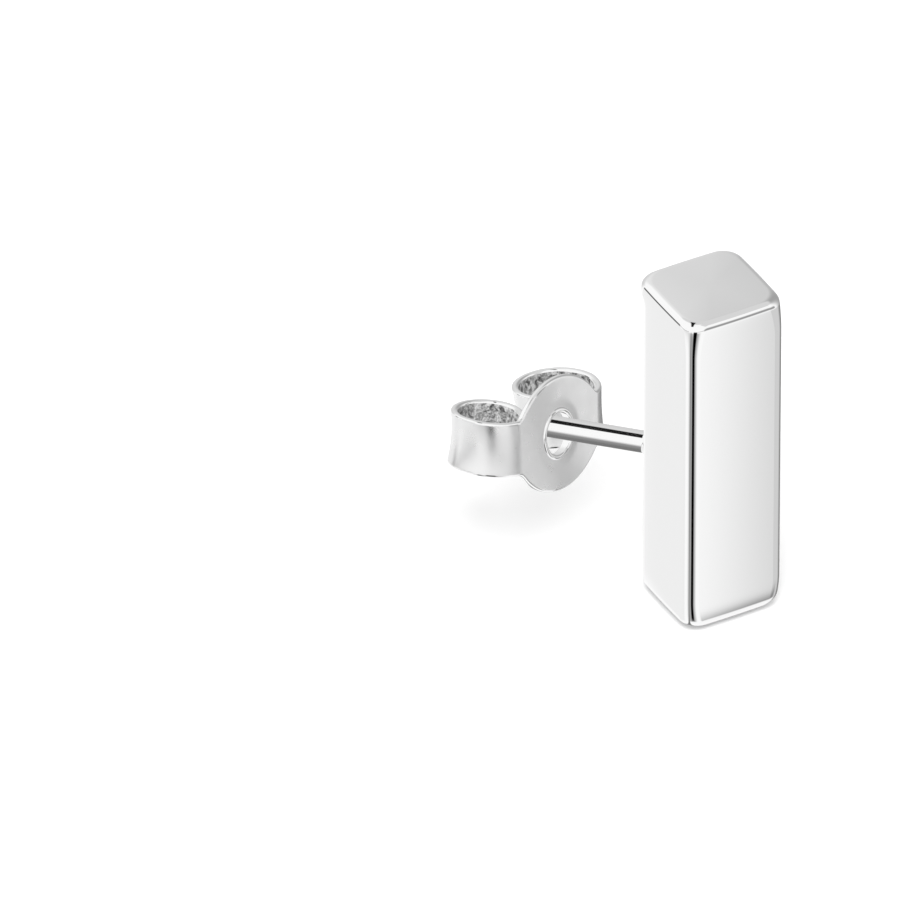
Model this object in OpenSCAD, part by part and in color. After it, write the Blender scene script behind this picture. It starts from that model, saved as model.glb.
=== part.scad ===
// Bar earring: a square silver bar that stands on its end, with an ear post on
// its rear edge and a butterfly clutch that slides on the post.
// Millimetres, +Z up. The origin is the middle of the foot, and the post points along +Y.

/* [Bar] */
// Length of each side of the square section
bar_side = 4; // [3:0.1:6]
// Height of the bar, end to end
bar_height = 13.5; // [10:0.1:20]
// Rounding of the four long edges
edge_round = 0.45; // [0.1:0.05:0.8]
// Rounding of the edges at the top
end_round = 0.28; // [0.1:0.02:0.6]
// Rounding of the edges at the foot
foot_round = 0.56; // [0.1:0.02:0.6]

/* [Seat for the post] */
// Depth of the flat on the rear edge, from the sharp corner
seat_depth = 0.53; // [0.2:0.01:0.7]
// Distance from the top of the bar to the full depth of the flat
seat_top_gap = 1.05; // [0.8:0.05:3]
// Radius of the run-out at the upper end of the flat
seat_runout = 0.7; // [0.3:0.05:1.5]

/* [Post] */
// Diameter of the ear post
post_dia = 0.8; // [0.7:0.05:1.1]
// Height of the post's axis above the foot
post_height = 6.2; // [4:0.1:9]
// Length of the post beyond the rear edge's sharp corner
post_reach = 5.6; // [5:0.1:10]
// Depth to which the post is set into the bar
post_root = 0.6; // [0.2:0.1:1]
// Length of the rounded tip
tip_round = 0.3; // [0.1:0.05:0.4]

/* [Clutch plate] */
// Thickness of the sheet that the clutch is bent from
sheet = 0.24; // [0.2:0.01:0.35]
// Height of the oval plate at its middle
plate_height = 4.2; // [3.4:0.1:6]
// Difference between the diameters of the hole and the post
hole_clearance = 0.75; // [0.7:0.05:1]
// Depth of the collar that is drawn out behind the hole
collar_depth = 0.2; // [0.1:0.05:0.4]
// Wall of the collar
collar_wall = 0.18; // [0.1:0.01:0.3]

/* [Clutch arms] */
// Height of the two arms
arm_height = 2; // [1.4:0.1:2.6]
// Gap between the post and the loop that lies next to it
loop_clearance = 0.1; // [0.06:0.01:0.4]
// Radius of the fold, at the middle of the sheet
fold_radius = 0.45; // [0.3:0.05:0.8]
// Radius of the outer flank of the near loop, which lies next to the post
near_flank = 1.65; // [1.6:0.05:2.4]
// Radius of the outer flank of the far loop
far_flank = 1.9; // [1.6:0.05:2.4]
// Radius of the curl of the near loop
near_curl = 1.1; // [1:0.05:1.2]
// Radius of the curl of the far loop
far_curl = 1.25; // [1:0.05:1.3]
// Radius of the tail that turns back towards the fold
tail_radius = 4; // [3:0.5:6]
// Rise of the near arm towards its loop
near_tilt = 6; // [0:1:8]
// Twist by which the far arm rises outwards
far_twist = 8; // [0:1:8]

/* [Clutch on the post] */
// Distance from the rear edge's sharp corner to the middle of the plate
plate_gap = 2.7; // [1.6:0.05:3.2]
// Turn of the clutch about the post
clutch_roll = 17; // [0:1:30]
// Sideways lean of the clutch on the post
clutch_yaw = 20; // [0:1:20]
// Backward lean of the clutch on the post
clutch_pitch = 7; // [0:1:8]
// Share of the hole's clearance by which it sits off the post sideways
play_side = 0.2; // [0:0.01:0.22]
// Share of the hole's clearance by which it hangs below the post
play_drop = 0.22; // [0:0.01:0.24]

/* [Hidden] */
$fn = 48;
// Distance from the bar's axis to a sharp corner of its section
corner_out = bar_side / sqrt(2);
post_start = corner_out - seat_depth - post_root;
post_end = corner_out + post_reach;
// Room by which cutting tools reach past the metal
spare = 1;
// Turns of the four stretches of each arm: fold and flank together, the curl and the tail
side_turn = 95;
curl_turn = 215;
tail_turn = -12;
// The near fold is bent further than the far one
near_fold_turn = 30;
far_fold_turn = 15;
// Length by which each arm starts inside the plate
arm_lap = 0.16;
// Largest turn between two points of an arm
arc_step = 7.5;
hole_dia = post_dia + hole_clearance;
side_shift = play_side * hole_clearance;
drop = play_drop * hole_clearance;
// Centre of the near loop's curl, counted from the start of the fold
near_flank_turn = side_turn - near_fold_turn;
after_fold = arc_point([0, 0], 0, fold_radius, near_fold_turn, near_fold_turn);
after_flank = arc_point(after_fold, near_fold_turn, near_flank, near_flank_turn, near_flank_turn);
curl_centre = arc_centre(after_flank, side_turn, near_curl, curl_turn);
// Distance from the middle of the plate to each fold, at which the leaning post clears the loop
loop_reach = near_curl + sheet / 2 + post_dia / 2 + loop_clearance;
fold_x = (loop_reach + curl_centre[1] * sin(clutch_yaw)) / cos(clutch_yaw)
    - curl_centre[0] - side_shift;
// The oval plate is where two round discs overlap: their radius and their offset from the middle
half_h = plate_height / 2;
half_arm = arm_height / 2;
oval_radius = (fold_x * fold_x + (half_h - half_arm) * (half_h - half_arm))
    / (2 * (half_h - half_arm));
oval_offset = oval_radius - half_h;

// Centre of an arc that starts at p with the heading h
function arc_centre(p, h, r, turn) = p + r * sign(turn) * [-sin(h), cos(h)];
// Point of that arc after the turn a
function arc_point(p, h, r, turn, a) =
    arc_centre(p, h, r, turn) - r * sign(turn) * [-sin(h + a), cos(h + a)];
function arc_count(turn) = ceil(abs(turn) / arc_step);
// The stretches of an arm: radius and turn of the fold, the flank, the curl and the tail
function stretches(fold_turn, flank, curl) = [
    [fold_radius, fold_turn], [flank, side_turn - fold_turn], [curl, curl_turn], [tail_radius, tail_turn]
];
// Points along an arm, each with its heading, from its stretch i on
function arm_points(arm, p, h, i = 0) = i == len(arm) ? [] :
    let (r = arm[i][0], turn = arm[i][1], n = arc_count(turn))
    concat(
        [for (k = [1:n]) [arc_point(p, h, r, turn, turn * k / n), h + turn * k / n]],
        arm_points(arm, arc_point(p, h, r, turn, turn), h + turn, i + 1)
    );
// The same points moved sideways by d, to one face of the sheet
function face_points(path, d) = [for (q = path) q[0] + d * [-sin(q[1]), cos(q[1])]];
function reversed(list) = [for (i = [len(list) - 1:-1:0]) list[i]];

// A rectangle on the X axis with its two lower corners and its two upper ones rounded
module round_rect(w, h, low, high) {
    translate([low - w / 2, 0]) square([w - 2 * low, low]);
    translate([-w / 2, low]) square([w, h - low - high]);
    translate([high - w / 2, h - high]) square([w - 2 * high, high]);
    for (x = [-1, 1]) {
        translate([x * (w / 2 - low), low]) circle(low);
        translate([x * (w / 2 - high), h - high]) circle(high);
    }
}

// The bar: three rounded outlines cut each other, so that all twelve edges are round
module bar_block() {
    rotate([0, 0, 45]) intersection() {
        linear_extrude(bar_height)
            translate([0, -bar_side / 2]) round_rect(bar_side, bar_side, edge_round, edge_round);
        intersection_for(turn = [0, 90]) rotate([0, 0, turn])
            translate([0, bar_side, 0]) rotate([90, 0, 0])
                linear_extrude(2 * bar_side) round_rect(bar_side, bar_height, foot_round, end_round);
    }
}

// The tool that mills the flat on the rear edge, with its round run-out
module seat_cutter() {
    flat_y = corner_out - seat_depth;
    full = bar_height - seat_top_gap;
    translate([-bar_side / 2, flat_y, -spare]) cube([bar_side, spare, full + spare]);
    translate([-bar_side / 2, flat_y + seat_runout, full]) rotate([0, 90, 0])
        cylinder(h = bar_side, r = seat_runout);
}

// The post, a plain wire with a rounded tip
module post() {
    translate([0, post_start, post_height]) rotate([-90, 0, 0]) rotate_extrude()
        intersection() {
            square([post_dia / 2, post_end - post_start]);
            union() {
                square([post_dia / 2, post_end - post_start - tip_round]);
                translate([0, post_end - post_start - tip_round])
                    square([post_dia / 2 - tip_round, tip_round]);
                translate([post_dia / 2 - tip_round, post_end - post_start - tip_round])
                    circle(tip_round);
            }
        }
}

module bar_with_post() {
    color("silver") union() {
        difference() {
            bar_block();
            seat_cutter();
        }
        post();
    }
}

// The oval plate with its hole, in the clutch's own frame: the loops lie on its +Y side
module clutch_plate() {
    difference() {
        union() {
            intersection() {
                intersection_for(side = [-1, 1])
                    translate([0, sheet / 2, side * oval_offset]) rotate([90, 0, 0])
                        cylinder(h = sheet, r = oval_radius, $fn = 96);
                translate([-fold_x, -sheet / 2, -half_h]) cube([2 * fold_x, sheet, plate_height]);
            }
            rotate([-90, 0, 0]) cylinder(h = sheet / 2 + collar_depth, d = hole_dia + 2 * collar_wall);
        }
        translate([0, spare, 0]) rotate([90, 0, 0]) cylinder(h = 2 * spare, d = hole_dia);
    }
}

// One arm: the sheet folds back, runs round the loop and returns to the fold
module clutch_arm(arm, lean) {
    path = concat([[[-arm_lap, 0], 0]], arm_points(arm, [0, 0], 0));
    outline = concat(face_points(path, sheet / 2), reversed(face_points(path, -sheet / 2)));
    translate([fold_x, 0, 0]) rotate(lean) translate([0, 0, -half_arm])
        linear_extrude(arm_height) polygon(outline);
}

module butterfly_clutch() {
    color("gainsboro") translate([0, corner_out + plate_gap, post_height])
        rotate([0, clutch_roll, 0]) rotate([0, 0, -clutch_yaw]) rotate([-clutch_pitch, 0, 0])
            translate([-side_shift, 0, -drop]) union() {
                clutch_plate();
                clutch_arm(stretches(far_fold_turn, far_flank, far_curl), [0, -far_twist, 0]);
                mirror([1, 0, 0])
                    clutch_arm(stretches(near_fold_turn, near_flank, near_curl), [near_tilt, 0, 0]);
            }
}

bar_with_post();
butterfly_clutch();
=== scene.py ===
# Bar earring: the polished bar, its post and the butterfly clutch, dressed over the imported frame.
# Sizes in the dictionaries are millimetres unless a name says otherwise.
from math import atan2, cos, pi, radians, sin, sqrt

import bmesh
import bpy
from mathutils import Matrix, Vector


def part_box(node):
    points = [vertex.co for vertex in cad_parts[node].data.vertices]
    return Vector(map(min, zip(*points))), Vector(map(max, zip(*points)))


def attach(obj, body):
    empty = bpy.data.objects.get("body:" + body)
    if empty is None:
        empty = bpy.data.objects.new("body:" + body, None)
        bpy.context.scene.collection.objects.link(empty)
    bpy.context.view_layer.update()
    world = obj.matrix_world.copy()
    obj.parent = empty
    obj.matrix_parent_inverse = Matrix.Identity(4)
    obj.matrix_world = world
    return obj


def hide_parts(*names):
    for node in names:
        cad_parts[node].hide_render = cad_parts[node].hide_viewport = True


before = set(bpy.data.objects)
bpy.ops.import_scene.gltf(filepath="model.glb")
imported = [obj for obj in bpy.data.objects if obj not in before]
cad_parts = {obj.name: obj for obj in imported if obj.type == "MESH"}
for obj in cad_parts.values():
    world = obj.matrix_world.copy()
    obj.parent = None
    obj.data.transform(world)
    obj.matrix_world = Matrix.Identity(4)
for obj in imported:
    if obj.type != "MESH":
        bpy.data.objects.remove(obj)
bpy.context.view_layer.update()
mm = 0.001

# the high corner of the box round the bar and its post: half the bar's width, the post's tip, the height
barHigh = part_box("bar_with_post")[1] / mm


# Small helpers for colours, nodes, meshes and modifiers
def linearColour(hexCode):
    def channel(value):
        return value / 12.92 if value <= 0.04045 else ((value + 0.055) / 1.055) ** 2.4
    return tuple(channel(int(hexCode[i:i + 2], 16) / 255) for i in (0, 2, 4)) + (1.0,)


def addNode(tree, kind, settings=None, values=None, links=None):
    node = tree.nodes.new(kind)
    for name, value in (settings or {}).items():
        setattr(node, name, value)
    for socket, value in (values or {}).items():
        node.inputs[socket].default_value = value
    for socket, source in (links or {}).items():
        tree.links.new(source, node.inputs[socket])
    return node


def smoothMin(a, b, blend):
    share = min(1.0, max(0.0, 0.5 + 0.5 * (b - a) / blend))
    return b + (a - b) * share - blend * share * (1 - share)


def smoothMax(a, b, blend):
    return -smoothMin(-a, -b, blend)


def newMaterial(name):
    material = bpy.data.materials.new(name)
    material.use_nodes = True
    material.node_tree.nodes.clear()
    return material


def meshObject(name, vertices, faces, materials):
    mesh = bpy.data.meshes.new(name)
    mesh.from_pydata([Vector(v) * mm for v in vertices], [], faces)
    for material in materials:
        mesh.materials.append(material)
    shape = bmesh.new()
    shape.from_mesh(mesh)
    bmesh.ops.recalc_face_normals(shape, faces=shape.faces)
    shape.to_mesh(mesh)
    shape.free()
    mesh.shade_smooth()
    piece = bpy.data.objects.new(name, mesh)
    bpy.context.scene.collection.objects.link(piece)
    return piece


def makePlain(piece):
    # the modifier's result becomes the piece's own mesh, and the modifier goes
    graph = bpy.context.evaluated_depsgraph_get()
    plain = bpy.data.meshes.new_from_object(piece.evaluated_get(graph))
    plain.name = piece.name
    piece.modifiers.clear()
    piece.data = plain
    # only the finishes that faces use keep a slot
    used = sorted({face.material_index for face in plain.polygons})
    materials = [plain.materials[k] for k in used]
    indices = [used.index(face.material_index) for face in plain.polygons]
    plain.materials.clear()
    for material in materials:
        plain.materials.append(material)
    plain.polygons.foreach_set("material_index", indices)
    return piece


def newTree(name, sockets):
    # a geometry tree with the named inputs of each kind of socket
    tree = bpy.data.node_groups.new(name, "GeometryNodeTree")
    tree.interface.new_socket("Geometry", in_out="OUTPUT", socket_type="NodeSocketGeometry")
    for kind, names in sockets.items():
        for socket in names:
            tree.interface.new_socket(socket, in_out="INPUT", socket_type="NodeSocket" + kind)
    return tree


def smoothShaded(tree, shape, sharpAngle):
    # smooth all over, except across edges that turn by more than the angle
    angle = addNode(tree, "GeometryNodeInputMeshEdgeAngle")
    soft = addNode(tree, "FunctionNodeCompare", {"operation": "LESS_THAN"},
                   links={"A": angle.outputs["Unsigned Angle"], "B": sharpAngle})
    faces = addNode(tree, "GeometryNodeSetShadeSmooth", {"domain": "FACE"}, links={"Geometry": shape})
    edges = addNode(tree, "GeometryNodeSetShadeSmooth", {"domain": "EDGE"},
                    links={"Geometry": faces.outputs["Geometry"], "Shade Smooth": soft.outputs["Result"]})
    return edges.outputs["Geometry"]


def setInputs(modifier, values):
    # inputs are found by name once, and set by their identifier
    for item in modifier.node_group.interface.items_tree:
        if item.item_type == "SOCKET" and item.in_out == "INPUT" and item.name in values:
            modifier[item.identifier] = values[item.name]


# Materials: grain is the spacing of a finish's marks and relief their depth
finishes = {
    # cast silver, rhodium-plated and mop-polished: a mirror with the faintest cloudiness
    "mop polished silver": {
        "colour": "F3F3F3",
        "roughness": 0.045,
        "spread": 0.015,
        "grain": 0.12,             # mop marks, drawn coarser than real so that they show
        "relief": 0.00012,
        "stretch": (1, 1, 1)
    },
    # pulled through a die and polished: a mirror that blurs a little across its fine lines
    "drawn silver wire": {
        "colour": "F3F3F3",
        "roughness": 0.07,
        "spread": 0.02,
        "grain": 0.05,             # drawing lines along the post
        "relief": 0.0002,
        "stretch": (1, 0.02, 1)
    },
    # pressed and tumbled: satin, which turns the studio's cards into soft bands
    "tumbled silver sheet": {
        "colour": "F1F1F1",
        "roughness": 0.3,
        "spread": 0.04,
        "grain": 0.5,              # broad unevenness
        "relief": 0.003,
        "stretch": (1, 1, 1)
    },
    # cut edges, rubbed bright by the tumbling: thin clear outlines round the satin
    "burnished rims of the sheet": {
        "colour": "F3F3F3",
        "roughness": 0.07,
        "spread": 0.02,
        "grain": 0.12,
        "relief": 0.0004,
        "stretch": (1, 1, 1)
    },
    # the inside of the loops, which no tool reaches: rough and sparkling, with mottled grey painted shade
    "unpolished silver sheet with painted shade": {
        "colour": "E2E2E2",
        "paintedShade": "5A5A5A",
        "roughness": 0.3,
        "grain": 0.1,              # torn, crinkled facets, drawn coarser than real so that they show
        "cloudGrain": 0.22,        # patches of painted shade
        "relief": 0.035,
        "paintedShadeAt": 0.36,         # heights of the cloud at which the two colours are pure
        "colourAt": 0.62
    }
}


def polishedSilver(name):
    # a mirror or a satin whose shine and relief waver with one soft noise
    look = finishes[name]
    material = newMaterial(name)
    tree = material.node_tree
    place = addNode(tree, "ShaderNodeTexCoord")
    stretched = addNode(tree, "ShaderNodeMapping", values={"Scale": look["stretch"]},
                        links={"Vector": place.outputs["Object"]})
    cloud = addNode(tree, "ShaderNodeTexNoise", values={"Scale": 1 / (look["grain"] * mm), "Detail": 4.0},
                    links={"Vector": stretched.outputs["Vector"]})
    shine = addNode(tree, "ShaderNodeMapRange",
                    values={"From Min": 0.3, "From Max": 0.7, "To Min": look["roughness"] - look["spread"],
                            "To Max": look["roughness"] + look["spread"]},
                    links={"Value": cloud.outputs["Fac"]})
    relief = addNode(tree, "ShaderNodeBump", values={"Strength": 1.0, "Distance": look["relief"] * mm},
                     links={"Height": cloud.outputs["Fac"]})
    metal = addNode(tree, "ShaderNodeBsdfPrincipled",
                    values={"Base Color": linearColour(look["colour"]), "Metallic": 1.0},
                    links={"Roughness": shine.outputs["Result"], "Normal": relief.outputs["Normal"]})
    addNode(tree, "ShaderNodeOutputMaterial", links={"Surface": metal.outputs["BSDF"]})
    return material


def crinkledSilver(name):
    # left rough by the press: small facets that sparkle, with patches of painted shade among them
    look = finishes[name]
    material = newMaterial(name)
    tree = material.node_tree
    place = addNode(tree, "ShaderNodeTexCoord")
    facets = addNode(tree, "ShaderNodeTexVoronoi", values={"Scale": 1 / (look["grain"] * mm)},
                     links={"Vector": place.outputs["Object"]})
    cloud = addNode(tree, "ShaderNodeTexNoise",
                    values={"Scale": 1 / (look["cloudGrain"] * mm), "Detail": 5.0, "Roughness": 0.6,
                            "Distortion": 0.8},
                    links={"Vector": place.outputs["Object"]})
    height = addNode(tree, "ShaderNodeMath", {"operation": "ADD"},
                     links={0: facets.outputs["Distance"], 1: cloud.outputs["Fac"]})
    relief = addNode(tree, "ShaderNodeBump", values={"Strength": 1.0, "Distance": look["relief"] * mm},
                     links={"Height": height.outputs["Value"]})
    # painted shade: the cloud mixes a dark grey into the colour, standing in for the shade inside the loops
    tone = addNode(tree, "ShaderNodeValToRGB", links={"Fac": cloud.outputs["Fac"]})
    dark, bright = tone.color_ramp.elements
    dark.position, dark.color = look["paintedShadeAt"], linearColour(look["paintedShade"])
    bright.position, bright.color = look["colourAt"], linearColour(look["colour"])
    metal = addNode(tree, "ShaderNodeBsdfPrincipled",
                    values={"Metallic": 1.0, "Roughness": look["roughness"]},
                    links={"Base Color": tone.outputs["Color"], "Normal": relief.outputs["Normal"]})
    addNode(tree, "ShaderNodeOutputMaterial", links={"Surface": metal.outputs["BSDF"]})
    return material


mirrorSilver = polishedSilver("mop polished silver")
wireSilver = polishedSilver("drawn silver wire")
sheetSilver = polishedSilver("tumbled silver sheet")
rimSilver = polishedSilver("burnished rims of the sheet")
insideSilver = crinkledSilver("unpolished silver sheet with painted shade")
print("materials ready")


# The bar: rings of a rounded square from the foot to the top, with the seat milled off the rear edge
bar = {
    "edgeRound": 0.45,          # rounding of the four long edges
    "endRound": 0.28,           # rounding of the edges at the top
    "footRound": 0.56,          # rounding of the edges at the foot
    "faceCrown": 0.045,         # how far the polishing takes each face down beside its edges
    "endCrown": (0.025, 8),     # and towards the top: depth, and the power by which it sets in
    "footCrown": (0.075, 3.2),  # and towards the foot
    "endCrownReach": 1.4,
    "endCornerRound": 0.72,     # the long edges are rounder where they run out at the ends
    "endCornerPower": 1.6,      # the power by which that sets in
    "topCrown": 0.05,           # the top face's own dome
    "seatDepth": 0.53,
    "seatTopGap": 1.05,
    "seatRunout": 0.7,
    "seatSoftness": 0.07,       # rounding of the seat's rims
    "sideSteps": 40,
    "cornerSteps": 14,
    "roundSteps": 12,
    "endSteps": 14,             # rings on each end's crown,
    "endSpread": 1.3,           # and the power that crowds them towards the rims
    "middleSteps": 12,
    "seatSteps": 20,
    "leastStep": 0.001,         # a ring closer than this to the top's rounding is left out
    "capRings": 12
}
barHeight = barHigh.z
sharpCorner = barHigh.x + bar["edgeRound"] * (sqrt(2) - 1)
halfSide = sharpCorner / sqrt(2)


def ringOfBar(inset, corner):
    # one outline, counter-clockwise, as points (u, v) with the section's sides along u and v
    half = halfSide - inset
    flat = half - corner
    quarter = []
    for step in range(bar["sideSteps"]):
        quarter.append((half, flat * sin(pi / 2 * (2 * step / bar["sideSteps"] - 1))))
    for step in range(bar["cornerSteps"]):
        angle = pi / 2 * step / bar["cornerSteps"]
        quarter.append((flat + corner * cos(angle), flat + corner * sin(angle)))
    turns = ((1, 0), (0, 1), (-1, 0), (0, -1))
    return [(u * c - v * s, u * s + v * c) for c, s in turns for u, v in quarter]


def seatAt(z):
    # how far back the bar reaches at this height: the milled flat and its round run-out
    flatY = sharpCorner - bar["seatDepth"]
    above = z - (barHeight - bar["seatTopGap"])
    if above <= 0:
        return flatY
    if above >= bar["seatRunout"]:
        return flatY + bar["seatRunout"] + above
    return flatY + bar["seatRunout"] - sqrt(bar["seatRunout"] ** 2 - above ** 2)


def placeOfBar(u, v, z):
    # the crown pulls a point in beside the edges, then the section is turned to stand on its corner
    crown = bar["faceCrown"] / halfSide
    u, v = u * (1 - crown * (v / halfSide) ** 2), v * (1 - crown * (u / halfSide) ** 2)
    x, y = (u - v) / sqrt(2), (u + v) / sqrt(2)
    return (x, smoothMin(y, seatAt(z), bar["seatSoftness"]), z)


def levelsOfBar():
    # heights, insets and corner radii of all the rings on the sides, from the foot up
    reach, footRound, topRound = bar["endCrownReach"], bar["footRound"], bar["endRound"]
    quarter = [pi / 2 * step / bar["roundSteps"] for step in range(bar["roundSteps"] + 1)]
    foot = [(footRound * (1 - cos(angle)), footRound * (1 - sin(angle))) for angle in quarter]
    top = [(barHeight - topRound * (1 - sin(angle)), topRound * (1 - cos(angle))) for angle in quarter]
    spread = [(k / bar["endSteps"]) ** bar["endSpread"] for k in range(1, bar["endSteps"] + 1)]
    heights = [footRound + (reach - footRound) * share for share in spread]
    heights += [barHeight - topRound - (reach - topRound) * share for share in spread]
    middle = barHeight - 2 * reach
    heights += [reach + middle * k / bar["middleSteps"] for k in range(1, bar["middleSteps"])]
    seatEnd = barHeight - bar["seatTopGap"]
    heights += [seatEnd + bar["seatRunout"] * k / bar["seatSteps"] for k in range(bar["seatSteps"] + 1)]
    sides = sorted({round(z, 4) for z in heights if z < barHeight - topRound - bar["leastStep"]})
    levels = []
    for z, inset in foot + [(z, 0) for z in sides] + top:
        depth = max(0.0, 1 - min(z, barHeight - z) / reach)
        rounder = (bar["endCornerRound"] - bar["edgeRound"]) * depth ** bar["endCornerPower"]
        crown, power = bar["endCrown"] if z > barHeight / 2 else bar["footCrown"]
        levels.append((z, inset + crown * depth ** power, bar["edgeRound"] + rounder))
    return levels


def bandOfFaces(first, second, count):
    # quads between two rings of the same count, given by their first points
    steps = [(k, (k + 1) % count) for k in range(count)]
    return [(first + a, first + b, second + b, second + a) for a, b in steps]


def makeBar():
    vertices, faces = [], []
    levels = levelsOfBar()
    for z, inset, corner in levels:
        z -= bar["topCrown"] * max(0.0, 2 * z / barHeight - 1)
        vertices += [placeOfBar(u, v, z) for u, v in ringOfBar(inset, corner)]
    count = len(ringOfBar(0, bar["edgeRound"]))
    for row in range(len(levels) - 1):
        faces += bandOfFaces(row * count, (row + 1) * count, count)
    topRow = len(levels) - 1
    for z, dome, row in ((0, 0, 0), (barHeight - bar["topCrown"], bar["topCrown"], topRow)):
        previous = row * count
        outline = vertices[previous:previous + count]
        for ring in range(1, bar["capRings"]):
            share = 1 - ring / bar["capRings"]
            start = len(vertices)
            vertices += [(x * share, y * share, z + dome * (1 - share ** 2)) for x, y, _ in outline]
            faces += bandOfFaces(previous, start, count)
            previous = start
        vertices.append((0, 0, z + dome))
        for k in range(count):
            faces.append((previous + k, previous + (k + 1) % count, len(vertices) - 1))
    return meshObject("square_bar", vertices, faces, [mirrorSilver])


squareBar = makeBar()
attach(squareBar, "stud")
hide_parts("bar_with_post")
print("bar made")


# The post: a wire swept along its axis, with a rounded tip and a trace of solder at its root
post = {
    "diameter": 0.8,
    "height": 6.2,              # of its axis above the foot
    "rootDepth": 0.3,           # how far it goes into the bar
    "tipRound": 0.3,
    "solderReach": 0.1,         # length and height of the solder's fillet on the bar
    "solderRise": 0.05,
    "sharpAngleDegrees": 40,
    "lengthSteps": 420,
    "sides": 64
}


def wireTree():
    tree = newTree("wire with a rounded tip", {
        "Float": ("Radius", "Tip", "Root", "Solder Reach", "Solder Rise", "Sharp Angle"),
        "Vector": ("Start", "End"),
        "Int": ("Steps", "Sides"),
        "Material": ("Finish",)
    })
    given = addNode(tree, "NodeGroupInput").outputs
    line = addNode(tree, "GeometryNodeCurvePrimitiveLine",
                   links={"Start": given["Start"], "End": given["End"]})
    path = addNode(tree, "GeometryNodeResampleCurve", {"mode": "COUNT"},
                   links={"Curve": line.outputs["Curve"], "Count": given["Steps"]})
    along = addNode(tree, "GeometryNodeSplineParameter").outputs["Length"]
    whole = addNode(tree, "ShaderNodeVectorMath", {"operation": "DISTANCE"},
                    links={0: given["Start"], 1: given["End"]})
    toTip = addNode(tree, "ShaderNodeMath", {"operation": "SUBTRACT"},
                    links={0: whole.outputs["Value"], 1: along})
    # the tip's quarter circle: the root of tip squared less what is left of the tip squared
    rest = addNode(tree, "ShaderNodeMath", {"operation": "SUBTRACT"},
                   links={0: given["Tip"], 1: toTip.outputs["Value"]})
    inTip = addNode(tree, "ShaderNodeMath", {"operation": "MAXIMUM"}, {1: 0.0}, {0: rest.outputs["Value"]})
    squared = addNode(tree, "ShaderNodeMath", {"operation": "MULTIPLY"},
                      links={0: inTip.outputs["Value"], 1: inTip.outputs["Value"]})
    tipSquared = addNode(tree, "ShaderNodeMath", {"operation": "MULTIPLY"},
                         links={0: given["Tip"], 1: given["Tip"]})
    left = addNode(tree, "ShaderNodeMath", {"operation": "SUBTRACT"},
                   links={0: tipSquared.outputs["Value"], 1: squared.outputs["Value"]})
    root = addNode(tree, "ShaderNodeMath", {"operation": "SQRT"}, links={0: left.outputs["Value"]})
    core = addNode(tree, "ShaderNodeMath", {"operation": "SUBTRACT"},
                   links={0: given["Radius"], 1: given["Tip"]})
    wire = addNode(tree, "ShaderNodeMath", {"operation": "ADD"},
                   links={0: core.outputs["Value"], 1: root.outputs["Value"]})
    # the solder swells the wire where it leaves the bar
    out = addNode(tree, "ShaderNodeMath", {"operation": "ADD"},
                  links={0: given["Root"], 1: given["Solder Reach"]})
    swell = addNode(tree, "ShaderNodeMapRange", {"interpolation_type": "SMOOTHSTEP"},
                    links={"Value": along, "From Min": out.outputs["Value"], "From Max": given["Root"],
                           "To Max": given["Solder Rise"]})
    size = addNode(tree, "ShaderNodeMath", {"operation": "ADD"},
                   links={0: wire.outputs["Value"], 1: swell.outputs["Result"]})
    ring = addNode(tree, "GeometryNodeCurvePrimitiveCircle", {"mode": "RADIUS"}, {"Radius": 1.0},
                   {"Resolution": given["Sides"]})
    swept = addNode(tree, "GeometryNodeCurveToMesh", values={"Fill Caps": True},
                    links={"Curve": path.outputs["Curve"], "Profile Curve": ring.outputs["Curve"],
                           "Scale": size.outputs["Value"]})
    shaded = smoothShaded(tree, swept.outputs["Mesh"], given["Sharp Angle"])
    real = addNode(tree, "GeometryNodeRealizeInstances", links={"Geometry": shaded})
    finish = addNode(tree, "GeometryNodeSetMaterial",
                     links={"Geometry": real.outputs["Geometry"], "Material": given["Finish"]})
    addNode(tree, "NodeGroupOutput", links={"Geometry": finish.outputs["Geometry"]})
    return tree


def makePost():
    seatY = sharpCorner - bar["seatDepth"]
    piece = bpy.data.objects.new("ear_post", bpy.data.meshes.new("ear_post"))
    bpy.context.scene.collection.objects.link(piece)
    modifier = piece.modifiers.new("wire", "NODES")
    modifier.node_group = wireTree()
    setInputs(modifier, {
        "Start": (0, (seatY - post["rootDepth"]) * mm, post["height"] * mm),
        "End": (0, barHigh.y * mm, post["height"] * mm),
        "Radius": post["diameter"] / 2 * mm,
        "Tip": post["tipRound"] * mm,
        "Root": post["rootDepth"] * mm,
        "Solder Reach": post["solderReach"] * mm,
        "Solder Rise": post["solderRise"] * mm,
        "Sharp Angle": radians(post["sharpAngleDegrees"]),
        "Steps": post["lengthSteps"],
        "Sides": post["sides"],
        "Finish": wireSilver
    })
    return makePlain(piece)


earPost = makePost()
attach(earPost, "stud")
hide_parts("bar_with_post")
print("post made")


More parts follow.
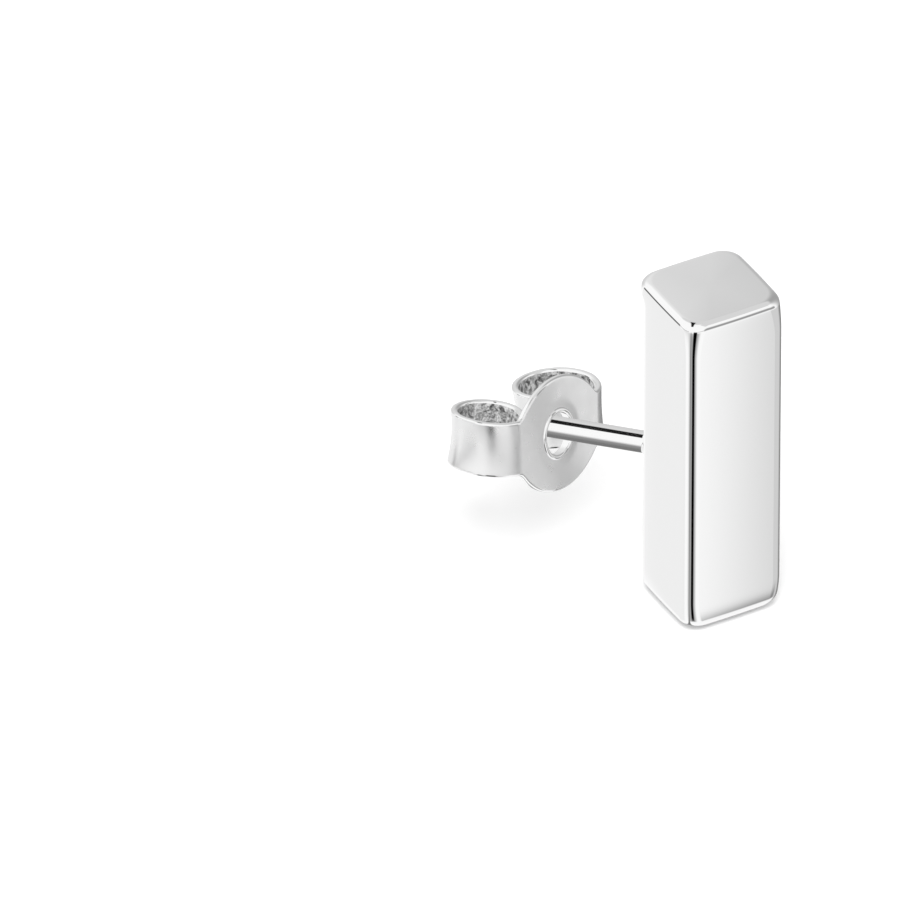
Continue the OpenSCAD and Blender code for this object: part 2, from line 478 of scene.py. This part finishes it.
# The clutch: one strip of sheet swept along its own path, with the oval plate in its middle
clutch = {
    "sheet": 0.24,
    "edgeRound": 0.085,         # rounding of the sheet's cut edges
    "plateHeight": 4.2,
    "armHeight": 2.0,
    "holeClearance": 0.75,
    "collarDepth": 0.2,
    "collarWall": 0.18,
    "collarTrim": 0.12,         # taken off the collar's rear end
    "collarRound": 0.45,        # rounding of its ends, in walls
    "lipRise": 0.07,            # how far the rolled lip stands proud in front
    "dishDepth": 0.05,          # how far the plate is drawn in round the hole
    "dishWidth": 0.6,
    "loopClearance": 0.1,
    "foldRadius": 0.45,
    "nearFlankRadius": 1.65,    # the near loop is squeezed a little, and the far one is open
    "farFlankRadius": 1.9,
    "nearCurlRadius": 1.1,
    "farCurlRadius": 1.25,
    "tailRadius": 4.0,
    "nearTurns": (30, 65, 215, -12),  # degrees of the fold, flank, curl and tail
    "farTurns": (15, 80, 215, -12),
    "nearLean": (6, 0),         # degrees by which the near arm rises towards its loop
    "farLean": (0, -8),         # and by which the far arm rises outwards
    "arcStepDegrees": 2.5,
    "arcStepOfOneMm": 6,        # degrees of a step on a radius of 1 mm; a wider arc takes shorter ones
    "plateSteps": 90,
    "ovalBlend": 0.16,          # softness of the notch where the oval meets the arm
    "ovalEnd": 0.9,             # share of its radius past which the oval isn't followed
    "flare": 0.09,              # how far the loops' rims open out
    "flareReach": 1.8,          # length of arm over which that sets in
    "insideStart": 0.3,         # share of that reach from which the inner face is left rough and painted with shade
    "insideSlack": 0.3,         # how far the rough, shaded face runs on to the rims, in edge rounds
    "punchDepth": 8,            # in sheets
    "sharpAngleDegrees": 34,
    "profileSteps": 128,
    "gap": 2.7,                 # from the rear edge to the plate
    "roll": 17,                 # degrees
    "yaw": 20,
    "pitch": 7,
    "playSide": 0.2,            # shares of the hole's clearance by which it sits off the post
    "playDrop": 0.22
}
holeRadius = (post["diameter"] + clutch["holeClearance"]) / 2
halfPlate = clutch["plateHeight"] / 2
halfArm = clutch["armHeight"] / 2


def arcCentre(point, heading, radius, turn):
    side = 1 if turn > 0 else -1
    return (point[0] - side * radius * sin(heading), point[1] + side * radius * cos(heading))


def arcPoint(point, heading, radius, turn, angle):
    x, y = arcCentre(point, heading, radius, turn)
    side = 1 if turn > 0 else -1
    return (x + side * radius * sin(heading + angle), y - side * radius * cos(heading + angle))


def armStretches(side):
    # radius and turn of the fold, flank, curl and tail of the near or the far arm
    radii = (clutch["foldRadius"], clutch[side + "FlankRadius"], clutch[side + "CurlRadius"],
             clutch["tailRadius"])
    return tuple(zip(radii, clutch[side + "Turns"]))


def armPath(start, side):
    # points of an arm with heading, length from the fold and the share of the flare
    rows, point, heading, length = [], start, 0.0, 0.0
    for radius, turnDegrees in armStretches(side):
        turn = radians(turnDegrees)
        step = min(clutch["arcStepDegrees"], clutch["arcStepOfOneMm"] / radius)
        steps = max(2, int(abs(turnDegrees) / step))
        for k in range(1, steps + 1):
            angle = turn * k / steps
            reach = length + abs(angle) * radius
            here = arcPoint(point, heading, radius, turn, angle)
            rows.append((here, heading + angle, reach, min(1.0, reach / clutch["flareReach"])))
        point = arcPoint(point, heading, radius, turn, turn)
        heading += turn
        length += abs(turn) * radius
    return rows


def foldPlace():
    # distance of each fold from the middle, at which the leaning post clears the loop
    point, heading = (0.0, 0.0), 0.0
    stretches = armStretches("near")
    for radius, turnDegrees in stretches[:2]:
        turn = radians(turnDegrees)
        point = arcPoint(point, heading, radius, turn, turn)
        heading += turn
    curlRadius, curlTurn = stretches[2]
    centre = arcCentre(point, heading, curlRadius, radians(curlTurn))
    reach = curlRadius + clutch["sheet"] / 2 + post["diameter"] / 2 + clutch["loopClearance"]
    yaw = radians(clutch["yaw"])
    sideShift = clutch["playSide"] * clutch["holeClearance"]
    return (reach + centre[1] * sin(yaw)) / cos(yaw) - centre[0] - sideShift


def stripPath():
    # the whole strip from the end of the left arm to the end of the right one
    foldX = foldPlace()
    rise = halfPlate - halfArm
    ovalRadius = (foldX ** 2 + rise ** 2) / (2 * rise)

    def halfHeight(x):
        along = min(x, clutch["ovalEnd"] * ovalRadius)
        oval = sqrt(ovalRadius ** 2 - along ** 2) - (ovalRadius - halfPlate)
        return smoothMax(oval, halfArm, clutch["ovalBlend"])

    near = armPath((foldX, 0.0), "near")
    far = armPath((foldX, 0.0), "far")
    rows = []
    lean = {side: [radians(angle) for angle in clutch[side + "Lean"]] for side in ("near", "far")}
    for (x, y), heading, length, share in reversed(near):
        rows.append(((-x, y), -heading, halfHeight(foldX + length), share, lean["near"]))
    for k in range(clutch["plateSteps"] + 1):
        x = foldX * (2 * k / clutch["plateSteps"] - 1)
        rows.append(((x, 0.0), 0.0, halfHeight(abs(x)), 0.0, (0, 0)))
    for (x, y), heading, length, share in far:
        rows.append(((x, y), heading, halfHeight(foldX + length), share, lean["far"]))
    return rows


def stripObject():
    # the path as a line mesh that carries its own heading, height, flare and lean
    points, headings, halfHeights, shares, leans = zip(*stripPath())
    centres = [(x * mm, y * mm, 0) for x, y in points]
    leaning = [(tilt * share, twist * share, 0) for share, (tilt, twist) in zip(shares, leans)]
    mesh = bpy.data.meshes.new("butterfly_clutch_sheet")
    mesh.from_pydata(centres, [(k, k + 1) for k in range(len(centres) - 1)], [])
    carried = {
        "centre": ("FLOAT_VECTOR", "vector", centres),
        "side": ("FLOAT_VECTOR", "vector", [(-sin(heading), cos(heading), 0) for heading in headings]),
        "halfHeight": ("FLOAT", "value", [half * mm for half in halfHeights]),
        "flareShare": ("FLOAT", "value", shares),
        "lean": ("FLOAT_VECTOR", "vector", leaning)
    }
    for name, (kind, field, values) in carried.items():
        attribute = mesh.attributes.new(name, kind, "POINT")
        for k, value in enumerate(values):
            setattr(attribute.data[k], field, value)
    piece = bpy.data.objects.new("butterfly_clutch_sheet", mesh)
    bpy.context.scene.collection.objects.link(piece)
    return piece


def sheetTree():
    tree = newTree("sheet strip along a path", {
        "Geometry": ("Path",),
        "Float": ("Sheet", "Edge Round", "Half Arm", "Flare", "Hole Radius", "Collar Radius", "Collar Wall",
                  "Collar Length", "Collar Round", "Punch Depth", "Dish Depth", "Dish Width", "Inner Face",
                  "Inside Start", "Sharp Angle"),
        "Vector": ("Collar Shift", "Fold"),
        "Int": ("Profile Steps",),
        "Material": ("Outside", "Inside", "Rim")
    })
    given = addNode(tree, "NodeGroupInput").outputs
    carried = {}
    for name, kind in (("section", "FLOAT_VECTOR"), ("centre", "FLOAT_VECTOR"), ("side", "FLOAT_VECTOR"),
                       ("lean", "FLOAT_VECTOR"), ("halfHeight", "FLOAT"), ("flareShare", "FLOAT")):
        item = addNode(tree, "GeometryNodeInputNamedAttribute", {"data_type": kind}, {"Name": name})
        carried[name] = item.outputs["Attribute"]
    # a rounded cross-section of an arm, whose own points are kept as an attribute
    curve = addNode(tree, "GeometryNodeMeshToCurve", links={"Mesh": given["Path"]})
    wide = addNode(tree, "ShaderNodeMath", {"operation": "MULTIPLY"}, {1: 2.0}, {0: given["Half Arm"]})
    box = addNode(tree, "GeometryNodeCurvePrimitiveQuadrilateral", {"mode": "RECTANGLE"},
                  links={"Width": wide.outputs["Value"], "Height": given["Sheet"]})
    soft = addNode(tree, "GeometryNodeFilletCurve", {"mode": "POLY"}, {"Count": 6},
                   {"Curve": box.outputs["Curve"], "Radius": given["Edge Round"]})
    even = addNode(tree, "GeometryNodeResampleCurve", {"mode": "COUNT"},
                   links={"Curve": soft.outputs["Curve"], "Count": given["Profile Steps"]})
    where = addNode(tree, "GeometryNodeInputPosition")
    section = addNode(tree, "GeometryNodeStoreNamedAttribute",
                      {"data_type": "FLOAT_VECTOR", "domain": "POINT"}, {"Name": "section"},
                      {"Geometry": even.outputs["Curve"], "Value": where.outputs["Position"]})
    swept = addNode(tree, "GeometryNodeCurveToMesh", values={"Fill Caps": True},
                    links={"Curve": curve.outputs["Curve"], "Profile Curve": section.outputs["Geometry"]})
    # the section's straight part is stretched to the height here, and its rounded ends stay round
    across = addNode(tree, "ShaderNodeSeparateXYZ", links={"Vector": carried["section"]})
    up, through = across.outputs["X"], across.outputs["Y"]
    straight = addNode(tree, "ShaderNodeMath", {"operation": "SUBTRACT"},
                       links={0: given["Half Arm"], 1: given["Edge Round"]})
    share = addNode(tree, "ShaderNodeMath", {"operation": "DIVIDE"},
                    links={0: up, 1: straight.outputs["Value"]})
    inside = addNode(tree, "ShaderNodeClamp", values={"Min": -1.0, "Max": 1.0},
                     links={"Value": share.outputs["Value"]})
    more = addNode(tree, "ShaderNodeMath", {"operation": "SUBTRACT"},
                   links={0: carried["halfHeight"], 1: given["Half Arm"]})
    height = addNode(tree, "ShaderNodeMath", {"operation": "MULTIPLY_ADD"},
                     links={0: inside.outputs["Result"], 1: more.outputs["Value"], 2: up})
    # the loops' rims open out
    ofArm = addNode(tree, "ShaderNodeMath", {"operation": "DIVIDE"}, links={0: up, 1: given["Half Arm"]})
    rim = addNode(tree, "ShaderNodeMath", {"operation": "MULTIPLY"},
                  links={0: ofArm.outputs["Value"], 1: ofArm.outputs["Value"]})
    flare = addNode(tree, "ShaderNodeMath", {"operation": "MULTIPLY"},
                    links={0: given["Flare"], 1: carried["flareShare"]})
    opened = addNode(tree, "ShaderNodeMath", {"operation": "MULTIPLY"},
                     links={0: rim.outputs["Value"], 1: flare.outputs["Value"]})
    outward = addNode(tree, "ShaderNodeMath", {"operation": "SUBTRACT"},
                      links={0: through, 1: opened.outputs["Value"]})
    sideways = addNode(tree, "ShaderNodeVectorMath", {"operation": "SCALE"},
                       links={0: carried["side"], "Scale": outward.outputs["Value"]})
    upright = addNode(tree, "ShaderNodeCombineXYZ", links={"Z": height.outputs["Value"]})
    offset = addNode(tree, "ShaderNodeVectorMath", {"operation": "ADD"},
                     links={0: sideways.outputs["Vector"], 1: upright.outputs["Vector"]})
    placed = addNode(tree, "ShaderNodeVectorMath", {"operation": "ADD"},
                     links={0: offset.outputs["Vector"], 1: carried["centre"]})
    # the plate is drawn in round the hole
    spot = addNode(tree, "ShaderNodeVectorMath", {"operation": "MULTIPLY"}, {1: (1, 0, 1)},
                   {0: placed.outputs["Vector"]})
    radius = addNode(tree, "ShaderNodeVectorMath", {"operation": "LENGTH"},
                     links={0: spot.outputs["Vector"]})
    dishEnd = addNode(tree, "ShaderNodeMath", {"operation": "ADD"},
                      links={0: given["Hole Radius"], 1: given["Dish Width"]})
    dish = addNode(tree, "ShaderNodeMapRange", {"interpolation_type": "SMOOTHERSTEP"},
                   links={"Value": radius.outputs["Value"], "From Min": dishEnd.outputs["Value"],
                          "From Max": given["Hole Radius"], "To Max": given["Dish Depth"]})
    drawn = addNode(tree, "ShaderNodeCombineXYZ", links={"Y": dish.outputs["Result"]})
    dished = addNode(tree, "ShaderNodeVectorMath", {"operation": "ADD"},
                     links={0: placed.outputs["Vector"], 1: drawn.outputs["Vector"]})
    # each arm leans out of the plate's plane, more and more from the fold on
    raised = addNode(tree, "ShaderNodeVectorRotate", {"rotation_type": "EULER_XYZ"},
                     links={"Vector": dished.outputs["Vector"], "Center": given["Fold"],
                            "Rotation": carried["lean"]})
    strip = addNode(tree, "GeometryNodeSetPosition",
                    links={"Geometry": swept.outputs["Mesh"], "Position": raised.outputs["Vector"]})
    # the hole is punched, and a collar with a rolled lip lines it
    punch = addNode(tree, "GeometryNodeMeshCylinder", {"fill_type": "NGON"}, {"Vertices": 96},
                    {"Radius": given["Collar Radius"], "Depth": given["Punch Depth"]})
    turned = addNode(tree, "GeometryNodeTransform", values={"Rotation": (pi / 2, 0, 0)},
                     links={"Geometry": punch.outputs["Mesh"]})
    punched = addNode(tree, "GeometryNodeMeshBoolean", {"operation": "DIFFERENCE", "solver": "EXACT"},
                      links={"Mesh 1": strip.outputs["Geometry"], "Mesh 2": turned.outputs["Geometry"]})
    circle = addNode(tree, "GeometryNodeCurvePrimitiveCircle", {"mode": "RADIUS"}, {"Resolution": 128},
                     {"Radius": given["Collar Radius"]})
    wall = addNode(tree, "GeometryNodeCurvePrimitiveQuadrilateral", {"mode": "RECTANGLE"},
                   links={"Width": given["Collar Wall"], "Height": given["Collar Length"]})
    wallRound = addNode(tree, "GeometryNodeFilletCurve", {"mode": "POLY"}, {"Count": 6},
                        {"Curve": wall.outputs["Curve"], "Radius": given["Collar Round"]})
    collar = addNode(tree, "GeometryNodeCurveToMesh",
                     links={"Curve": circle.outputs["Curve"], "Profile Curve": wallRound.outputs["Curve"]})
    seated = addNode(tree, "GeometryNodeTransform", values={"Rotation": (pi / 2, 0, 0)},
                     links={"Geometry": collar.outputs["Mesh"], "Translation": given["Collar Shift"]})
    sheetFinish = addNode(tree, "GeometryNodeSetMaterial",
                          links={"Geometry": punched.outputs["Mesh"], "Material": given["Outside"]})
    collarFinish = addNode(tree, "GeometryNodeSetMaterial",
                           links={"Geometry": seated.outputs["Geometry"], "Material": given["Rim"]})
    both = addNode(tree, "GeometryNodeJoinGeometry", links={"Geometry": sheetFinish.outputs["Geometry"]})
    tree.links.new(collarFinish.outputs["Geometry"], both.inputs["Geometry"])
    shaded = smoothShaded(tree, both.outputs["Geometry"], given["Sharp Angle"])
    real = addNode(tree, "GeometryNodeRealizeInstances", links={"Geometry": shaded})
    # the loops' inner faces take the rough finish with painted shade, and the rims take the burnished one
    isInner = addNode(tree, "FunctionNodeCompare", {"operation": "GREATER_THAN"},
                      links={"A": through, "B": given["Inner Face"]})
    isArm = addNode(tree, "FunctionNodeCompare", {"operation": "GREATER_THAN"},
                    links={"A": carried["flareShare"], "B": given["Inside Start"]})
    inLoop = addNode(tree, "FunctionNodeBooleanMath", {"operation": "AND"},
                     links={0: isInner.outputs["Result"], 1: isArm.outputs["Result"]})
    inner = addNode(tree, "GeometryNodeSetMaterial",
                    links={"Geometry": real.outputs["Geometry"], "Selection": inLoop.outputs["Boolean"],
                           "Material": given["Inside"]})
    aside = addNode(tree, "ShaderNodeMath", {"operation": "ABSOLUTE"}, links={0: up})
    isRim = addNode(tree, "FunctionNodeCompare", {"operation": "GREATER_THAN"},
                    links={"A": aside.outputs["Value"], "B": straight.outputs["Value"]})
    rims = addNode(tree, "GeometryNodeSetMaterial",
                   links={"Geometry": inner.outputs["Geometry"], "Selection": isRim.outputs["Result"],
                          "Material": given["Rim"]})
    addNode(tree, "NodeGroupOutput", links={"Geometry": rims.outputs["Geometry"]})
    return tree


def makeClutch():
    piece = stripObject()
    modifier = piece.modifiers.new("sheet", "NODES")
    modifier.node_group = sheetTree()
    collarLength = clutch["sheet"] + clutch["collarDepth"] - clutch["collarTrim"] + clutch["lipRise"]
    collarShift = collarLength / 2 - clutch["sheet"] / 2 - clutch["lipRise"] + clutch["dishDepth"]
    setInputs(modifier, {
        "Sheet": clutch["sheet"] * mm,
        "Edge Round": clutch["edgeRound"] * mm,
        "Half Arm": halfArm * mm,
        "Flare": clutch["flare"] * mm,
        "Hole Radius": holeRadius * mm,
        "Collar Radius": (holeRadius + clutch["collarWall"] / 2) * mm,
        "Collar Wall": clutch["collarWall"] * mm,
        "Collar Length": collarLength * mm,
        "Collar Round": clutch["collarRound"] * clutch["collarWall"] * mm,
        "Punch Depth": clutch["punchDepth"] * clutch["sheet"] * mm,
        "Dish Depth": clutch["dishDepth"] * mm,
        "Dish Width": clutch["dishWidth"] * mm,
        "Inner Face": (clutch["sheet"] / 2 - clutch["insideSlack"] * clutch["edgeRound"]) * mm,
        "Inside Start": clutch["insideStart"],
        "Sharp Angle": radians(clutch["sharpAngleDegrees"]),
        "Profile Steps": clutch["profileSteps"],
        "Collar Shift": (0, collarShift * mm, 0),
        "Fold": (foldPlace() * mm, 0, 0),
        "Outside": sheetSilver,
        "Inside": insideSilver,
        "Rim": rimSilver
    })
    makePlain(piece)
    onPost = Vector((0, sharpCorner + clutch["gap"], post["height"])) * mm
    offPost = Vector((-clutch["playSide"], 0, -clutch["playDrop"])) * clutch["holeClearance"] * mm
    place = (Matrix.Translation(onPost) @ Matrix.Rotation(radians(clutch["roll"]), 4, "Y")
             @ Matrix.Rotation(radians(-clutch["yaw"]), 4, "Z")
             @ Matrix.Rotation(radians(-clutch["pitch"]), 4, "X") @ Matrix.Translation(offPost))
    piece.data.transform(place)
    return piece


clutchSheet = makeClutch()
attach(clutchSheet, "clutch")
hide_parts("butterfly_clutch")
for piece in (squareBar, earPost, clutchSheet):
    print(piece.name, "has", len(piece.data.polygons), "faces")
print("clutch made")


# The studio: a pale floor, a soft surround with a few cards in it, and one soft lamp
camera = {
    "azimuthDegrees": -74,
    "elevationDegrees": 36,
    "pixelsPerMm": 28.2,
    "pictureSize": 900,
    "centrePixel": (709.45, 440.3),   # where the middle of the bar lies in the picture
    "distance": 1000
}
studio = {
    "surround": 1.06,           # brightness of the surround where there is no card,
    "floorLight": 0.99,         # as it lights the floor,
    "background": 1.0,          # and as the camera sees it
    "floorHalf": 600,
    "floorGrain": 40,           # spacing of the sheet's faint cloudiness
    "stripFade": 0.2,           # height above or below the horizon over which a strip sets in
    "lampPower": 0.02,
    "lampSize": 30,
    "lampDistance": 60,
    "lampAzimuthDegrees": 190,
    "lampElevationDegrees": 58
}
# cards by azimuth from +X towards +Y and elevation, in degrees; a later card lies over the earlier ones
cards = {
    "far wall": {"at": (0, 22), "half": (50, 48), "soft": (14, 14), "tone": 0.86},
    "far wall's darker side": {"at": (-20, 22), "half": (28, 48), "soft": (26, 14), "tone": 0.4},
    "ceiling": {"at": (330, 66), "half": (85, 18), "soft": (10, 4), "tone": 0.74},
    "wall behind": {"at": (45, -4), "half": (24, 18), "soft": (14, 10), "tone": 0.72},
    "wall on the left": {"at": (137, -17), "half": (18, 9), "soft": (10, 5), "tone": 0.86},
    "left table": {"at": (96, -38), "half": (26, 16), "soft": (4, 5), "tone": 0.95},
    "right table": {"at": (305, -36), "half": (49, 14), "soft": (8.5, 6), "tone": 0.68},
    "shade beside the foot": {"at": (-6, -38), "half": (32, 14), "soft": (14, 8), "tone": 0.26},
    "shade before the foot": {"at": (275, -43), "half": (22, 3.5), "soft": (14, 3), "tone": 0.28},
    "left horizon": {"at": (88, -9), "half": (6, 8), "soft": (3, 4), "tone": 0.1},
    "horizon left of the camera": {"at": (122, -3), "half": (32, 2.5), "soft": (4, 2), "tone": 0.15},
    "horizon right of the camera": {"at": (221, 3), "half": (22, 3), "soft": (4, 2), "tone": 0.3},
    "right horizon": {"at": (262, 4), "half": (26, 15), "soft": (6, 9), "tone": 0.34},
    "grey room": {"at": (184.5, -38), "half": (28.5, 20), "soft": (14, 8), "tone": 0.4},
    "black camera side": {"at": (189, -33), "half": (10, 20), "soft": (3, 4), "tone": 0.0},
    "above the camera": {"at": (189, -7), "half": (9, 8), "soft": (2, 3), "tone": 0.0}
}
# strips that only the post mirrors, by the x and y of their direction, above or below the horizon
strips = {
    "overhead strip": {
        "at": (0.04, 0.223), "half": (0.34, 0.055), "soft": (0.03, 0.02), "above": 1, "tone": 0.01
    },
    "strip under the post": {
        "at": (-0.1, 0.223), "half": (0.78, 0.055), "soft": (0.45, 0.02), "above": -1, "tone": 0.2
    }
}


def makeCamera():
    azimuth, elevation = radians(camera["azimuthDegrees"]), radians(camera["elevationDegrees"])
    back = Vector((sin(azimuth) * cos(elevation), -cos(azimuth) * cos(elevation), sin(elevation)))
    right = Vector((cos(azimuth), sin(azimuth), 0))
    up = back.cross(right)
    half = camera["pictureSize"] / 2
    toRight, toTop = half - camera["centrePixel"][0], camera["centrePixel"][1] - half
    aim = Vector((0, 0, barHeight / 2)) + (toRight * right + toTop * up) / camera["pixelsPerMm"]
    data = bpy.data.cameras.new("camera")
    data.angle = 2 * atan2(half / camera["pixelsPerMm"], camera["distance"])
    data.clip_start = 0.01
    data.clip_end = 10
    eye = bpy.data.objects.new("camera", data)
    eye.matrix_world = Matrix((right, up, back)).transposed().to_4x4()
    eye.location = (aim + back * camera["distance"]) * mm
    bpy.context.scene.collection.objects.link(eye)
    bpy.context.scene.camera = eye
    return eye


def makeFloor():
    half = studio["floorHalf"]
    corners = [(-half, -half, 0), (half, -half, 0), (half, half, 0), (-half, half, 0)]
    paper = newMaterial("white acrylic sheet")
    tree = paper.node_tree
    place = addNode(tree, "ShaderNodeTexCoord")
    cloud = addNode(tree, "ShaderNodeTexNoise", values={"Scale": 1 / (studio["floorGrain"] * mm)},
                    links={"Vector": place.outputs["Object"]})
    tone = addNode(tree, "ShaderNodeMapRange", values={"To Min": 0.98, "To Max": 1.0},
                   links={"Value": cloud.outputs["Fac"]})
    matt = addNode(tree, "ShaderNodeBsdfDiffuse", links={"Color": tone.outputs["Result"]})
    addNode(tree, "ShaderNodeOutputMaterial", links={"Surface": matt.outputs["BSDF"]})
    floor = meshObject("floor", corners, [(0, 1, 2, 3)], [paper])
    floor.visible_glossy = False      # the silver mirrors the studio's cards, not the sheet
    return floor


def makeSurround():
    world = bpy.data.worlds.new("soft studio")
    world.use_nodes = True
    tree = world.node_tree
    tree.nodes.clear()
    bpy.context.scene.world = world
    toward = addNode(tree, "ShaderNodeTexCoord").outputs["Generated"]
    level = addNode(tree, "ShaderNodeSeparateXYZ", links={"Vector": toward})
    rise = addNode(tree, "ShaderNodeMath", {"operation": "ARCSINE"}, links={0: level.outputs["Z"]})
    height = addNode(tree, "ShaderNodeMath", {"operation": "DEGREES"}, links={0: rise.outputs["Value"]})
    light = addNode(tree, "ShaderNodeValue").outputs["Value"]
    light.default_value = studio["surround"]

    def laidOver(light, item, away):
        # the item's tone where both distances from its middle are small enough
        masks = []
        for distance, half, soft in zip(away, item["half"], item["soft"]):
            size = addNode(tree, "ShaderNodeMath", {"operation": "ABSOLUTE"}, links={0: distance})
            near = addNode(tree, "ShaderNodeMapRange", {"interpolation_type": "SMOOTHSTEP"},
                           {"From Min": half + soft, "From Max": half - soft},
                           {"Value": size.outputs["Value"]})
            masks.append(near.outputs["Result"])
        mask = addNode(tree, "ShaderNodeMath", {"operation": "MULTIPLY"},
                       links={0: masks[0], 1: masks[1]})
        if "above" in item:
            fade = studio["stripFade"] * item["above"]
            side = addNode(tree, "ShaderNodeMapRange", values={"From Max": fade},
                           links={"Value": level.outputs["Z"]})
            mask = addNode(tree, "ShaderNodeMath", {"operation": "MULTIPLY"},
                           links={0: mask.outputs["Value"], 1: side.outputs["Result"]})
        mixed = addNode(tree, "ShaderNodeMix", {"data_type": "FLOAT"}, {3: item["tone"]},
                        {0: mask.outputs["Value"], 2: light})
        return mixed.outputs[0]

    for name, card in cards.items():
        azimuth = radians(card["at"][0])
        facing = addNode(tree, "ShaderNodeVectorMath", {"operation": "DOT_PRODUCT", "label": name},
                         {1: (cos(azimuth), sin(azimuth), 0)}, {0: toward})
        beside = addNode(tree, "ShaderNodeVectorMath", {"operation": "DOT_PRODUCT"},
                         {1: (-sin(azimuth), cos(azimuth), 0)}, {0: toward})
        turn = addNode(tree, "ShaderNodeMath", {"operation": "ARCTAN2"},
                       links={0: beside.outputs["Value"], 1: facing.outputs["Value"]})
        wide = addNode(tree, "ShaderNodeMath", {"operation": "DEGREES"}, links={0: turn.outputs["Value"]})
        above = addNode(tree, "ShaderNodeMath", {"operation": "SUBTRACT"}, {1: card["at"][1]},
                        {0: height.outputs["Value"]})
        light = laidOver(light, card, (wide.outputs["Value"], above.outputs["Value"]))
    for name, strip in strips.items():
        away = []
        for axis, middle in zip("XY", strip["at"]):
            apart = addNode(tree, "ShaderNodeMath", {"operation": "SUBTRACT", "label": name}, {1: middle},
                            {0: level.outputs[axis]})
            away.append(apart.outputs["Value"])
        light = laidOver(light, strip, away)
    rays = addNode(tree, "ShaderNodeLightPath").outputs
    even = addNode(tree, "ShaderNodeMix", {"data_type": "FLOAT"}, {3: studio["floorLight"]},
                   {0: rays["Is Diffuse Ray"], 2: light})
    shown = addNode(tree, "ShaderNodeMix", {"data_type": "FLOAT"}, {3: studio["background"]},
                    {0: rays["Is Camera Ray"], 2: even.outputs[0]})
    glow = addNode(tree, "ShaderNodeBackground", values={"Color": (1, 1, 1, 1)},
                   links={"Strength": shown.outputs[0]})
    addNode(tree, "ShaderNodeOutputWorld", links={"Surface": glow.outputs["Background"]})


def makeLamp():
    azimuth, elevation = radians(studio["lampAzimuthDegrees"]), radians(studio["lampElevationDegrees"])
    toward = Vector((cos(azimuth) * cos(elevation), sin(azimuth) * cos(elevation), sin(elevation)))
    data = bpy.data.lights.new("soft lamp", "AREA")
    data.shape = "DISK"
    data.size = studio["lampSize"] * mm
    data.energy = studio["lampPower"]
    lamp = bpy.data.objects.new("soft lamp", data)
    lamp.location = toward * studio["lampDistance"] * mm
    lamp.rotation_euler = toward.to_track_quat("Z", "Y").to_euler()
    lamp.visible_glossy = False
    bpy.context.scene.collection.objects.link(lamp)


makeCamera()
makeFloor()
makeSurround()
makeLamp()
bpy.context.scene.view_settings.view_transform = "Standard"
earPost.visible_glossy = False
clutchSheet.visible_glossy = False
print("studio ready")
